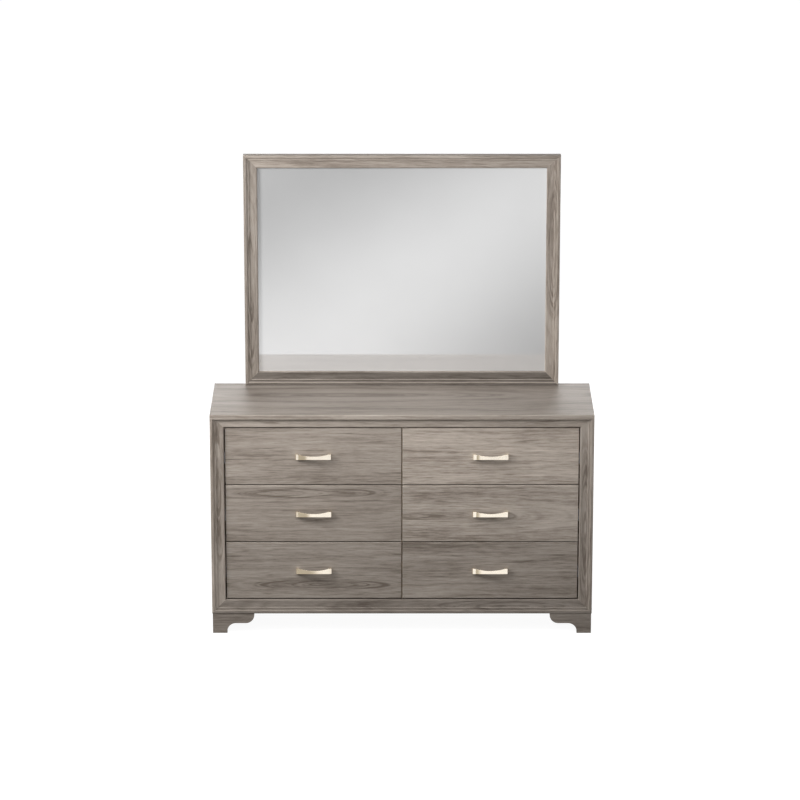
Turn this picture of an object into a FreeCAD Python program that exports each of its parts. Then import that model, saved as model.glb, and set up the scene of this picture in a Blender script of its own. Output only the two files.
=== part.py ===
import FreeCAD, Part
import os

import Sketcher

# Dresser with mirror, in millimetres.
# Frame: X to the right, Y to the back, Z up, floor at Z = 0, origin under the middle of the object.

SIZES = {
    "caseWidth": 1500,
    "caseDepth": 450,
    "caseHeight": 900,
    "boardThick": 16,
    "topThick": 18,
    "topRound": 2.5,
    "backThick": 4,
    "backInset": 2,
    "backRabbet": 8,
    "railHeight": 100,
    "railThick": 18,
    "edgeRound": 1.5,
    # Stepped moulding of the face frame and the mirror frame
    "mouldWidth": 54,
    "mouldDepth": 32,
    "lipWidth": 8,
    "lipRound": 6,
    "ledgeWidth": 6,
    "ledgeRound": 4,
    "faceFall": 1.5,
    "beadRadius": 5,
    # Bracket feet
    "footHeight": 82,
    "footReach": 164,
    "footPad": 57,
    "footCurve": 34,
    "footThick": 20,
    "footInset": 2,
    # Drawers
    "drawerGap": 4,
    "drawerRecess": 18,
    "frontThick": 18,
    "frontRound": 2,
    "boxThick": 12,
    "boxHeight": 170,
    "boxLength": 370,
    "boxLift": 18,
    "bottomThick": 4,
    "grooveDepth": 6,
    "grooveLift": 10,
    "fitSlack": 0.5,
    # Telescopic slides, measured from the face that each one is screwed to
    "slideLength": 350,
    "slideThick": 12.5,
    "slideHeight": 45,
    "slideSetback": 4,
    "steelThick": 1.2,
    "outerReach": 10,
    "outerLip": 3.5,
    "middleStart": 4.2,
    "middleReach": 5.6,
    "middleHeight": 36,
    "innerReach": 5.5,
    "innerHeight": 26,
    "cleatHeight": 60,
    "partitionSetback": 2,
    # Bow pulls
    "pullLength": 140,
    "pullLeg": 12,
    "pullStand": 12.5,
    "pullBow": 13.5,
    "pullHeight": 22,
    "pullWaist": 4.5,
    "pullThick": 5,
    "pullCorner": 3.5,
    "pullEase": 0.9,
    # Mirror
    "mirrorWidth": 1250,
    "mirrorHeight": 940,
    "rabbetWidth": 8,
    "rabbetDepth": 10,
    "glassThick": 5,
    "backboardThick": 3,
    "supportWidth": 44,
    "supportThick": 20,
    "supportDrop": 200,
    "supportRise": 700,
}

doc = FreeCAD.newDocument("dresser")
sheet = doc.addObject("Spreadsheet::Sheet", "sizes")
for row, (alias, number) in enumerate(SIZES.items(), start=1):
    sheet.set(f"A{row}", alias)
    sheet.set(f"B{row}", str(number))
    sheet.setAlias(f"B{row}", alias)
doc.recompute()


class Size:
    """A length worked out from the sheet: its formula for binding and its value for first placement."""

    def __init__(self, formula, value):
        self.formula = formula
        self.value = value

    def combine(self, sign, other, value):
        return Size(f"({self.formula} {sign} {as_size(other).formula})", value)

    def __add__(self, other):
        return self.combine("+", other, self.value + as_size(other).value)

    def __sub__(self, other):
        return self.combine("-", other, self.value - as_size(other).value)

    def __mul__(self, other):
        return self.combine("*", other, self.value * as_size(other).value)

    def __truediv__(self, other):
        return self.combine("/", other, self.value / as_size(other).value)

    def __rmul__(self, number):
        return as_size(number) * self

    def __neg__(self):
        return as_size(-1) * self


def as_size(number):
    return number if isinstance(number, Size) else Size(str(number), float(number))


def cell(alias):
    return Size(f"sizes.{alias}", float(SIZES[alias]))


ZERO = as_size(0)
NEAR = 1e-6


def bind(item, name, size):
    item.setExpression(name, as_size(size).formula)


def place(item, x, y, z, turn=None):
    """Puts an object at a bound point, turned first about an axis by an angle in degrees."""
    if turn:
        rotation = FreeCAD.Rotation(FreeCAD.Vector(*turn[0]), turn[1])
        item.Placement = FreeCAD.Placement(FreeCAD.Vector(), rotation)
    for axis, size in zip("xyz", (x, y, z)):
        bind(item, f"Placement.Base.{axis}", size)
    return item


def new_body(label):
    body = doc.addObject("PartDesign::Body", label)
    body.Label = label
    return body


def arc_between(start, end, radius):
    """Arc from start to end; a positive radius turns left, a negative one turns right."""
    chord = end - start
    side = FreeCAD.Vector(-chord.y, chord.x, 0).normalize()
    rise = max(radius * radius - chord.Length ** 2 / 4, 0) ** 0.5
    centre = (start + end) / 2 + side * (rise if radius > 0 else -rise)
    first, last = (start, end) if radius > 0 else (end, start)
    right = FreeCAD.Vector(1, 0, 0)
    angles = [right.getAngle(p - centre) * (1 if p.y >= centre.y else -1) for p in (first, last)]
    return Part.ArcOfCircle(Part.Circle(centre, FreeCAD.Vector(0, 0, 1), abs(radius)), *angles)


def draw_outline(body, name, plane, corners):
    """Closed sketch through corners (u, v) or (u, v, radius), where a radius bends the side that follows."""
    sketch = body.newObject("Sketcher::SketchObject", name)
    sketch.AttachmentSupport = [(next(f for f in body.Origin.OriginFeatures if f.Role == plane), "")]
    sketch.MapMode = "FlatFace"
    points = [FreeCAD.Vector(as_size(c[0]).value, as_size(c[1]).value, 0) for c in corners]
    ends = []
    for i, corner in enumerate(corners):
        start, end = points[i], points[(i + 1) % len(points)]
        if len(corner) == 3:
            sketch.addGeometry(arc_between(start, end, as_size(corner[2]).value), False)
            ends.append((1, 2) if as_size(corner[2]).value > 0 else (2, 1))
        else:
            sketch.addGeometry(Part.LineSegment(start, end), False)
            ends.append((1, 2))
    for i, corner in enumerate(corners):
        after = (i + 1) % len(corners)
        sketch.addConstraint(Sketcher.Constraint("Coincident", i, ends[i][1], after, ends[after][0]))
        for kind, size in zip(("DistanceX", "DistanceY"), corner):
            rule = Sketcher.Constraint(kind, -1, 1, i, ends[i][0], as_size(size).value)
            bind(sketch, f"Constraints[{sketch.addConstraint(rule)}]", size)
        if len(corner) == 3:
            reach = as_size(corner[2])
            reach = reach if reach.value > 0 else -reach
            rule = Sketcher.Constraint("Radius", i, reach.value)
            bind(sketch, f"Constraints[{sketch.addConstraint(rule)}]", reach)
    return sketch


def pad(body, plane, corners, length):
    """Raises an outline on an origin plane towards positive X, Y or Z."""
    feature = body.newObject("PartDesign::Pad", "Raise")
    feature.Profile = draw_outline(body, "Outline", plane, corners)
    feature.Reversed = plane == "XZ_Plane"
    bind(feature, "Length", length)
    return feature


def pocket(body, plane, corners):
    """Cuts an outline on an origin plane right through the body towards positive X, Y or Z."""
    doc.recompute()
    before = body.Shape.Volume
    feature = body.newObject("PartDesign::Pocket", "Cut")
    feature.Profile = draw_outline(body, "CutOutline", plane, corners)
    feature.Type = "ThroughAll"
    feature.Reversed = plane != "XZ_Plane"
    doc.recompute()
    if body.Shape.Volume >= before:
        raise RuntimeError(f"{body.Label}: a cut removes nothing")
    return feature


def dress_edges(body, kind, measure, size, chosen):
    """Dresses the edges of the body's last feature that the test picks."""
    doc.recompute()
    base = body.Tip
    names = [f"Edge{i}" for i, edge in enumerate(base.Shape.Edges, start=1) if chosen(edge)]
    feature = body.newObject(f"PartDesign::{kind}", kind)
    feature.Base = (base, names)
    bind(feature, measure, size)
    return feature


def round_edges(body, radius, chosen):
    return dress_edges(body, "Fillet", "Radius", radius, chosen)


def bevel_edges(body, size, chosen):
    return dress_edges(body, "Chamfer", "Size", size, chosen)


def rectangle(width, height):
    return [(0, 0), (width, 0), (width, height), (0, height)]


def board(label, width, depth, height, x, y, z):
    """Plain board with its left, front, lower corner at a point."""
    body = new_body(label)
    pad(body, "XY_Plane", rectangle(width, depth), height)
    return place(body, x, y, z)


def group(label, pieces):
    """One node made of several separate pieces."""
    node = doc.addObject("Part::Compound", label)
    node.Label = label
    node.Links = pieces
    return node


def at_level(edge, axis, level):
    return all(abs(getattr(v.Point, axis) - level) < NEAR for v in edge.Vertexes)


def is_level(edge):
    return at_level(edge, "z", edge.Vertexes[0].Z)


nodes = []

# Places shared by the pieces

halfWidth = cell("caseWidth") / 2
pullReach = cell("pullBow") + cell("pullStand")
pullProud = pullReach - cell("drawerRecess")
frontY = (pullProud - cell("caseDepth") - cell("supportThick")) / 2
rearY = frontY + cell("caseDepth")
caseY = frontY + cell("mouldDepth")
backY = rearY - cell("backInset") - cell("backThick")
insideX = halfWidth - cell("boardThick")
openingX = halfWidth - cell("mouldWidth")
openingZ = cell("footHeight") + cell("mouldWidth")
openingHeight = cell("caseHeight") - cell("mouldWidth") - openingZ
underTop = cell("caseHeight") - cell("topThick")
faceY = frontY + cell("drawerRecess")
boxY = faceY + cell("frontThick")
halfPartition = cell("boardThick") / 2
mirrorY = rearY - cell("mouldDepth")


# Moulded frames

def moulding(label, outline, place_at, turn, rabbet=False):
    """Length of the stepped moulding in its outline, lying along X, outer edge down and face in front."""
    width, depth = cell("mouldWidth"), cell("mouldDepth")
    body = new_body(label)
    pad(body, "XZ_Plane", outline, depth)
    ledgeStart = cell("lipWidth") + cell("lipRound")
    ledgeEnd = ledgeStart + cell("ledgeWidth")
    faceStart = ledgeEnd + cell("ledgeRound")
    faceEnd = width - cell("beadRadius")
    faceDepth = cell("lipRound") + cell("ledgeRound")
    beadDepth = faceDepth + cell("faceFall")
    front = -cell("edgeRound")
    pocket(body, "YZ_Plane", [
        (0, cell("lipWidth"), -cell("lipRound")),
        (cell("lipRound"), ledgeStart),
        (cell("lipRound"), ledgeEnd, -cell("ledgeRound")),
        (faceDepth, faceStart),
        (beadDepth, faceEnd, -cell("beadRadius")),
        (beadDepth + cell("beadRadius"), width),
        (front, width),
        (front, cell("lipWidth")),
    ])
    if rabbet:
        pocket(body, "YZ_Plane", [
            (depth - cell("rabbetDepth"), width - cell("rabbetWidth")),
            (depth, width - cell("rabbetWidth")),
            (depth, width),
            (depth - cell("rabbetDepth"), width),
        ])
    if as_size(outline[0][1]).value == 0:
        round_edges(body, cell("edgeRound"), lambda e: at_level(e, "y", 0) and at_level(e, "z", 0))
    return place(body, *place_at, turn)


def mitred(length):
    """Outline of a moulding that is mitred at both ends."""
    width = cell("mouldWidth")
    return [(0, 0), (length, 0), (length - width, width), (width, width)]


def moulded_frame(prefix, width, height, y, z, lap=None, rabbet=False):
    """Four mitred mouldings with their outer edges on the frame's outline; a board may lap over the top."""
    upright, inner = (0, 1, 0), cell("mouldWidth")
    top, left, right = mitred(width), mitred(height), mitred(height)
    if lap:
        top = [(lap, lap), (width - lap, lap), (width - inner, inner), (inner, inner)]
        left = [(lap, 0), (height, 0), (height - inner, inner), (inner, inner), (lap, lap)]
        right = [(0, 0), (height - lap, 0), (height - lap, lap), (height - inner, inner), (inner, inner)]
    return [
        moulding(f"{prefix}_bottom_rail", mitred(width), (-width / 2, y, z), None, rabbet),
        moulding(f"{prefix}_top_rail", top, (width / 2, y, z + height), (upright, 180), rabbet),
        moulding(f"{prefix}_left_stile", left, (-width / 2, y, z + height), (upright, 90), rabbet),
        moulding(f"{prefix}_right_stile", right, (width / 2, y, z), (upright, -90), rabbet),
    ]


faceHeight = cell("caseHeight") - cell("footHeight")
nodes += moulded_frame("face_frame", cell("caseWidth"), faceHeight, frontY, cell("footHeight"),
                       lap=cell("topThick"))
nodes += moulded_frame("mirror_frame", cell("mirrorWidth"), cell("mirrorHeight"), mirrorY, cell("caseHeight"),
                       rabbet=True)


# Case boards

def side_panel(label, left):
    """Side of the case, rabbeted at the rear for the back panel."""
    thick, depth = cell("boardThick"), cell("caseDepth") - cell("mouldDepth")
    shelf, step = cell("backRabbet"), depth - cell("backInset") - cell("backThick")
    outline = [(0, 0), (thick, 0), (thick, step), (thick - shelf, step), (thick - shelf, depth), (0, depth)]
    if not left:
        outline = [(0, 0), (thick, 0), (thick, depth), (shelf, depth), (shelf, step), (0, step)]
    body = new_body(label)
    pad(body, "XY_Plane", outline, underTop - cell("footHeight"))
    return place(body, -halfWidth if left else insideX, caseY, cell("footHeight"))


def top_panel():
    """Top board, which laps over the face frame, with rounded upper edges."""
    depth = cell("caseDepth")
    body = board("top_panel", cell("caseWidth"), depth, cell("topThick"), -halfWidth, frontY, underTop)
    round_edges(body, cell("topRound"), lambda e: at_level(e, "z", SIZES["topThick"]))
    return body


sideSpan = backY - caseY
partitionY = boxY + cell("partitionSetback")
backWidth = 2 * (insideX + cell("backRabbet") - cell("fitSlack"))
floorTop = cell("footHeight") + cell("boardThick")
nodes += [
    top_panel(),
    side_panel("left_side_panel", True),
    side_panel("right_side_panel", False),
    board("bottom_panel", 2 * insideX, sideSpan, cell("boardThick"), -insideX, caseY, cell("footHeight")),
    board("centre_partition", cell("boardThick"), backY - partitionY, underTop - floorTop,
          -halfPartition, partitionY, floorTop),
    board("back_panel", backWidth, cell("backThick"), underTop - cell("footHeight"),
          -backWidth / 2, backY, cell("footHeight")),
    group("rear_rails", [
        board(f"rear_rail_{side}", insideX - halfPartition, cell("railThick"), cell("railHeight"),
              x, backY - cell("railThick"), underTop - cell("railHeight"))
        for side, x in (("left", -insideX), ("right", halfPartition))
    ]),
]


# Feet

def bracket_foot(label, x, y, angle):
    """Corner foot of two ogee brackets, one under the front or back and one under the side."""
    reach, curve, half = cell("footReach"), cell("footCurve"), cell("footHeight") / 2
    straight = half - curve
    outline = [
        (0, 0),
        (cell("footPad"), 0),
        (cell("footPad"), straight, -curve),
        (cell("footPad") + curve, half),
        (reach - curve, half, curve),
        (reach, half + curve),
        (reach, cell("footHeight")),
        (0, cell("footHeight")),
    ]
    body = new_body(label)
    pad(body, "XZ_Plane", outline, cell("footThick"))
    pad(body, "YZ_Plane", outline, cell("footThick"))
    return place(body, x, y, ZERO, ((0, 0, 1), angle))


footX = halfWidth - cell("footInset")
footFront, footRear = frontY + cell("footInset"), rearY - cell("footInset")
nodes += [
    bracket_foot("front_left_foot", -footX, footFront, 0),
    bracket_foot("front_right_foot", footX, footFront, 90),
    bracket_foot("rear_right_foot", footX, footRear, 180),
    bracket_foot("rear_left_foot", -footX, footRear, 270),
]


# Slides

def channel(width, height, lip=None):
    """Section of a pressed steel channel, with its web on the left and its open side on the right."""
    steel = cell("steelThick")
    if lip is None:
        return [(0, 0), (width, 0), (width, steel), (steel, steel),
                (steel, height - steel), (width, height - steel), (width, height), (0, height)]
    return [(0, 0), (width, 0), (width, lip), (width - steel, lip), (width - steel, steel), (steel, steel),
            (steel, height - steel), (width - steel, height - steel), (width - steel, height - lip),
            (width, height - lip), (width, height), (0, height)]


def slide_member(label, section, height, start, mountX, facing, middleZ):
    """Slide member whose web starts at a distance from the mounting face; facing is +1 or -1 along X."""
    body = new_body(label)
    pad(body, "XZ_Plane", section, cell("slideLength"))
    front = boxY + cell("slideSetback")
    x, z = mountX + facing * start, middleZ - height / 2
    if facing > 0:
        return place(body, x, front, z)
    return place(body, x, front + cell("slideLength"), z, ((0, 0, 1), 180))


def cabinet_member(label, mountX, facing, z):
    section = channel(cell("outerReach"), cell("slideHeight"), cell("outerLip"))
    return slide_member(label, section, cell("slideHeight"), ZERO, mountX, facing, z)


def middle_member(label, mountX, facing, z):
    section = channel(cell("middleReach"), cell("middleHeight"))
    return slide_member(label, section, cell("middleHeight"), cell("middleStart"), mountX, facing, z)


def drawer_member(label, mountX, facing, z):
    """The drawer's own channel, screwed to the box with its open side to the case."""
    section = channel(cell("innerReach"), cell("innerHeight"))
    boxSide = mountX + facing * cell("slideThick")
    return slide_member(label, section, cell("innerHeight"), ZERO, boxSide, -facing, z)


# Drawers

frontWidth = (2 * openingX - 3 * cell("drawerGap")) / 2
frontHeight = (openingHeight - 4 * cell("drawerGap")) / 3
boxOuterX = openingX - cell("slideThick")
boxInnerX = halfPartition + cell("slideThick")
boxWidth = boxOuterX - boxInnerX
grooveHeight = cell("bottomThick") + cell("fitSlack") / 2
grooveZ = cell("boxLift") + cell("grooveLift")


def drawer_front(label, frontX, boxX, z):
    """Front with soft edges and a groove behind it for the drawer bottom."""
    body = new_body(label)
    pad(body, "XZ_Plane", rectangle(frontWidth, frontHeight), cell("frontThick"))
    round_edges(body, cell("frontRound"), lambda e: at_level(e, "y", 0))
    doc.recompute()
    left, right = boxX - frontX, boxX - frontX + boxWidth
    depth = cell("frontThick") - cell("grooveDepth")
    groove = body.newObject("PartDesign::Pocket", "Groove")
    outline = draw_outline(body, "GrooveOutline", "XY_Plane", [
        (left, depth), (right, depth), (right, cell("frontThick")), (left, cell("frontThick"))])
    bind(outline, "AttachmentOffset.Base.z", grooveZ)
    groove.Profile = outline
    groove.Reversed = True
    bind(groove, "Length", grooveHeight)
    return place(body, frontX, faceY, z)


def drawer_side(label, left, x, z):
    """Box side with a groove along its inner face."""
    thick, high = cell("boxThick"), cell("boxHeight")
    low, top = cell("grooveLift"), cell("grooveLift") + grooveHeight
    deep = thick - cell("grooveDepth")
    section = [(0, 0), (thick, 0), (thick, low), (deep, low),
               (deep, top), (thick, top), (thick, high), (0, high)]
    if not left:
        inner = cell("grooveDepth")
        section = [(0, 0), (thick, 0), (thick, high), (0, high),
                   (0, top), (inner, top), (inner, low), (0, low)]
    body = new_body(label)
    pad(body, "XZ_Plane", section, cell("boxLength"))
    return place(body, x, boxY, z + cell("boxLift"))


def drawer_box(label, boxX, z):
    thick = cell("boxThick")
    backZ = cell("grooveLift") + grooveHeight
    return group(label, [
        drawer_side(f"{label}_left", True, boxX, z),
        drawer_side(f"{label}_right", False, boxX + boxWidth - thick, z),
        board(f"{label}_back", boxWidth - 2 * thick, thick, cell("boxHeight") - backZ,
              boxX + thick, boxY + cell("boxLength") - thick, z + cell("boxLift") + backZ),
    ])


def drawer_bottom(label, boxX, z):
    inset = cell("boxThick") - cell("grooveDepth") + cell("fitSlack")
    tongue = cell("grooveDepth") - cell("fitSlack")
    return board(label, boxWidth - 2 * inset, cell("boxLength") + tongue, cell("bottomThick"),
                 boxX + inset, boxY - tongue, z + grooveZ)


def bow_pull(label, middleX, middleZ):
    """Strap that bows forward between two legs and narrows towards its waist."""
    length, leg, high, corner = cell("pullLength"), cell("pullLeg"), cell("pullHeight"), cell("pullCorner")
    bow, thick, waist = cell("pullBow"), cell("pullThick"), cell("pullWaist")
    half = length / 2 - leg
    bend = (half * half + bow * bow) / (2 * bow)
    sweep = (half * half + waist * waist) / (2 * waist)
    body = new_body(label)
    pad(body, "XY_Plane", [
        (corner, bow),
        (leg, bow, bend),
        (length - leg, bow),
        (length - corner, bow, corner),
        (length, bow + corner),
        (length, pullReach),
        (length - leg, pullReach),
        (length - leg, bow + thick, -bend),
        (leg, bow + thick),
        (leg, pullReach),
        (0, pullReach),
        (0, bow + corner, corner),
    ], high)
    pocket(body, "XZ_Plane", [(leg, high, sweep), (length - leg, high)])
    pocket(body, "XZ_Plane", [(leg, 0), (length - leg, 0, sweep)])
    legFace = SIZES["pullBow"] + NEAR
    bevel_edges(body, cell("pullEase"), lambda e: e.CenterOfMass.y < legFace and is_level(e))
    return place(body, middleX - length / 2, faceY - pullReach, middleZ - high / 2)


def drawer(name, column, row):
    """One drawer with its pull and both slides; column is -1 or 1, row counts up from the lowest."""
    z = openingZ + cell("drawerGap") + row * (frontHeight + cell("drawerGap"))
    frontX = -openingX + cell("drawerGap") if column < 0 else cell("drawerGap") / 2
    boxX = -boxOuterX if column < 0 else boxInnerX
    slideZ = z + cell("boxLift") + cell("boxHeight") / 2
    mounts = [(column * openingX, -column), (column * halfPartition, column)]

    def pair(label, member):
        return [member(f"{label}_{i}", x, facing, slideZ) for i, (x, facing) in enumerate(mounts)]

    nodes.extend([
        drawer_front(f"{name}_front", frontX, boxX, z),
        drawer_box(f"{name}_box", boxX, z),
        drawer_bottom(f"{name}_bottom", boxX, z),
        bow_pull(f"{name}_pull", frontX + frontWidth / 2, z + frontHeight / 2),
        group(f"{name}_slide_inners", pair(f"{name}_slide_inner", drawer_member)),
        group(f"{name}_slide_middles", pair(f"{name}_slide_middle", middle_member)),
    ])
    cabinetMembers.extend(pair(f"{name}_slide_outer", cabinet_member))
    cleatX = -insideX if column < 0 else openingX
    cleatY = boxY + cell("partitionSetback")
    cleats.append(board(f"{name}_cleat", insideX - openingX, backY - cell("railThick") - cleatY,
                        cell("cleatHeight"), cleatX, cleatY, slideZ - cell("cleatHeight") / 2))


cabinetMembers = []
cleats = []
for row, rowName in enumerate(("lower", "middle", "upper")):
    for column, columnName in ((-1, "left"), (1, "right")):
        drawer(f"drawer_{rowName}_{columnName}", column, row)
nodes += [group("slide_cabinet_members", cabinetMembers), group("slide_cleats", cleats)]


# Mirror

def mirror_sheet(label, thick, y):
    """Sheet lying in the rear rabbet of the mirror frame."""
    border = cell("mouldWidth") - cell("rabbetWidth") + cell("fitSlack")
    return board(label, cell("mirrorWidth") - 2 * border, thick, cell("mirrorHeight") - 2 * border,
                 border - cell("mirrorWidth") / 2, y, cell("caseHeight") + border)


def mirror_support(label, x):
    """Upright strip behind the case and the mirror, with rounded corners."""
    body = new_body(label)
    pad(body, "XZ_Plane", rectangle(cell("supportWidth"), cell("supportDrop") + cell("supportRise")),
        cell("supportThick"))
    round_edges(body, cell("supportWidth") / 4, lambda e: not at_level(e, "y", e.Vertexes[0].Y))
    return place(body, x, rearY, cell("caseHeight") - cell("supportDrop"))


glassY = mirrorY + cell("mouldDepth") - cell("rabbetDepth")
supportX = cell("mirrorWidth") / 2 - (cell("mouldWidth") - cell("rabbetWidth") + cell("supportWidth")) / 2
nodes += [
    mirror_sheet("mirror_glass", cell("glassThick"), glassY),
    mirror_sheet("mirror_backboard", cell("backboardThick"), glassY + cell("glassThick")),
    group("mirror_supports", [
        mirror_support("mirror_support_left", -supportX - cell("supportWidth")),
        mirror_support("mirror_support_right", supportX),
    ]),
]

# Check and write

doc.recompute()
for item in doc.Objects:
    if "Invalid" in item.State or "Error" in item.State:
        raise RuntimeError(f"{item.Label} failed: {item.State}")
os.makedirs("parts", exist_ok=True)
for node in nodes:
    shape = node.Shape
    if shape.isNull() or not shape.isValid():
        raise RuntimeError(f"{node.Label} has no valid shape")
    shape.exportStep(f"parts/{node.Label}.step")
print(len(nodes), "pieces written")
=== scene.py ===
import math

import bmesh
import bpy
from mathutils import Euler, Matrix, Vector


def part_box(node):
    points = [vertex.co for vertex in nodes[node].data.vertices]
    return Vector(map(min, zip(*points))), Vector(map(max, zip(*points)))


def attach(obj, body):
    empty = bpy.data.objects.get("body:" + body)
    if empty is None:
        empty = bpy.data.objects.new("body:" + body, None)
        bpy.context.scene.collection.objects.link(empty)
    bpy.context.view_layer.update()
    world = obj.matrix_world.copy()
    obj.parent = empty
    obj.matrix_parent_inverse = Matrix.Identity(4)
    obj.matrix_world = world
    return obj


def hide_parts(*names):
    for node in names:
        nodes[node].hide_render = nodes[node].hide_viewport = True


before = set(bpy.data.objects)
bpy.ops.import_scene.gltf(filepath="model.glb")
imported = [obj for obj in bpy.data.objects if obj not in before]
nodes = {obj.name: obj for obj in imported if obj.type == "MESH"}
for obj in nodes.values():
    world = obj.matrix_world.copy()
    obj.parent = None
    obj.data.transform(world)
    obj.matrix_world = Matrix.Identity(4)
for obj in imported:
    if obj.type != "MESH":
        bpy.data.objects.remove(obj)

scene = bpy.context.scene
scene.view_settings.view_transform = "Standard"
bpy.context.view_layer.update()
drawers = [f"drawer_{row}_{column}" for row in ("lower", "middle", "upper") for column in ("left", "right")]


# Shader tools

noiseReach = (0.3, 0.7)  # most values of a noise lie between these


def scaled(colour, tone):
    return tuple(channel * tone for channel in colour)


class Finish:
    # one material and its node tree, with short calls for the nodes that every finish uses
    def __init__(self, name):
        self.material = bpy.data.materials.new(name)
        self.material.use_nodes = True
        self.tree = self.material.node_tree
        self.surface = self.tree.nodes["Principled BSDF"]
        self.place = self.add("ShaderNodeTexCoord").outputs["Object"]

    def add(self, kind, inputs=None, **settings):
        node = self.tree.nodes.new(kind)
        node.location = (-200 * (len(self.tree.nodes) % 12), -260 * (len(self.tree.nodes) // 12))
        for key, value in settings.items():
            setattr(node, key, value)
        for key, value in (inputs or {}).items():
            self.join(value, node.inputs[key])
        return node

    def join(self, value, socket):
        if isinstance(value, bpy.types.NodeSocket):
            self.tree.links.new(value, socket)
        else:
            socket.default_value = value

    def math(self, operation, first, second=0.0, third=0.0):
        return self.add("ShaderNodeMath", {0: first, 1: second, 2: third}, operation=operation).outputs[0]

    def vector(self, operation, first, second=(0, 0, 0), third=(0, 0, 0)):
        inputs = {0: first, 1: second, 2: third}
        return self.add("ShaderNodeVectorMath", inputs, operation=operation).outputs[0]

    def dot(self, first, second):
        inputs = {0: first, 1: second}
        return self.add("ShaderNodeVectorMath", inputs, operation="DOT_PRODUCT").outputs["Value"]

    def move(self, place, shift, turn=(0, 0, 0)):
        inputs = {"Vector": place, "Location": shift, "Rotation": turn}
        return self.add("ShaderNodeMapping", inputs).outputs[0]

    def stretch(self, place, grain, ratio, shift=(0, 0, 0)):
        scale = [1 / ratio if axis == grain else 1 for axis in "XYZ"]
        return self.add("ShaderNodeMapping", {"Vector": place, "Location": shift, "Scale": scale}).outputs[0]

    def noise(self, place, width, detail=2, roughness=0.5, distortion=0, output="Fac"):
        inputs = {"Vector": place, "Scale": 1 / width, "Detail": detail, "Roughness": roughness,
                  "Distortion": distortion}
        return self.add("ShaderNodeTexNoise", inputs).outputs[output]

    def sway(self, noise, amount, base):
        # moves a base up and down by how far a noise is off its middle
        return self.math("MULTIPLY_ADD", self.math("SUBTRACT", noise, 0.5), amount, base)

    def remap(self, value, low, high, newLow=0.0, newHigh=1.0, smooth=False):
        inputs = {"Value": value, "From Min": low, "From Max": high, "To Min": newLow, "To Max": newHigh}
        kind = "SMOOTHSTEP" if smooth else "LINEAR"
        return self.add("ShaderNodeMapRange", inputs, interpolation_type=kind).outputs["Result"]

    def ramp(self, value, stops):
        node = self.add("ShaderNodeValToRGB", {"Fac": value})
        points = node.color_ramp.elements
        while len(points) < len(stops):
            points.new(0.5)
        for point, (position, colour) in zip(points, stops):
            point.position = position
            point.color = (*colour, 1)
        return node.outputs["Color"]

    def shades(self, value, look, tone=1.0):
        # from the dark colour of a look to its light one
        parts = [part for part in ("dark", "mid", "light") if part in look]
        stops = [(stop, scaled(look[part], tone)) for stop, part in zip(look["stops"], parts)]
        return self.ramp(value, stops)

    def gloss(self, value, look):
        self.set(Roughness=self.remap(value, *noiseReach, *look["roughness"]))

    def bump(self, height, look):
        inputs = {"Height": height, "Distance": look["bumpDepth"], "Strength": look["bumpStrength"]}
        self.join(self.add("ShaderNodeBump", inputs).outputs["Normal"], self.surface.inputs["Normal"])

    def set(self, **values):
        for key, value in values.items():
            self.join(value, self.surface.inputs[key.replace("_", " ")])


# Grey oak foil: growth rings cut lengthways, so lines run along the grain and close to arches near the heart,
# with fibres, dark wavy streaks and pores over them

greyOak = {
    "light": (0.440, 0.387, 0.339), "mid": (0.322, 0.278, 0.239), "dark": (0.170, 0.139, 0.1145),
    "stops": (0.0, 0.5, 1.0),
    "waveWidth": 0.15, "waveStretch": 3.5, "waveHeight": 0.012,
    "heartSlope": 0.085, "heartDepth": 0.004, "heartSway": 0.022, "heartReach": 0.32,
    "figureReach": (0.040, 0.016),
    # lines: how strong, how wide, how many times as long as wide, and the noise that they come from;
    # "peaks" cuts a noise down to its highest parts
    "band": {"amount": 1.0, "width": 0.040, "stretch": 14, "roughness": 0.45},
    "ring": {"amount": 1.0, "width": 0.0085, "stretch": 34, "detail": 3, "roughness": 0.6, "shift": 7.7},
    "fibre": {"amount": 1.05, "width": 0.0050, "stretch": 11, "detail": 3, "roughness": 0.62, "shift": 3.1},
    "streak": {"amount": -0.42, "width": 0.0085, "stretch": 17, "roughness": 0.55, "distortion": 0.3,
               "shift": 5.7, "peaks": (0.60, 0.78)},
    "fleck": {"amount": 0.22, "width": 0.006, "stretch": 26, "detail": 1, "shift": 8.3,
              "peaks": (0.62, 0.80)},
    "pore": {"amount": -0.10, "width": 0.0011, "stretch": 9, "detail": 0, "shift": 2.9,
             "peaks": (0.64, 0.72)},
    "figure": {"amount": -0.44, "width": 0.0028, "stretch": 90, "detail": 1, "shift": 9.4,
               "peaks": (0.48, 0.64)},
    "wearWidth": 0.0016, "wearFrom": (0.97, 0.80), "wearAmount": 0.05, "wearSamples": 4,
    "roughness": (0.50, 0.64), "specular": 0.2, "bumpDepth": 0.00035, "bumpStrength": 0.5, "streakDepth": 0.5,
}
plainNoise = {"detail": 2, "roughness": 0.5, "distortion": 0, "shift": 0}
sideTurn = 0.7  # a face that turns further sideways than this counts as a side

# painted highlight and shade on the faces of a board that turn one way: tone against the board's own, the
# side they face, how far at least and at most
paintedLightAndShade = {
    # top panel: its front edge is paler than its upward face, whose low tone paints shade on it
    "top_panel": [(1.64, (0, -1, 0), 0.35, 2)],
    # mirror frame's bottom rail: its upward steps are painted paler, as highlight, than its face, whose low
    # tone paints shade on it
    "mirror_frame_bottom_rail": [(1.93, (0, 0, 1), 0.35, 2)],
    # drawer fronts: a painted highlight on the upper rounded edge and painted shade on the lower one
    "drawer": [(1.5, (0, 0, 1), 0.2, 0.96), (0.5, (0, 0, -1), 0.2, 2)],
}


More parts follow.
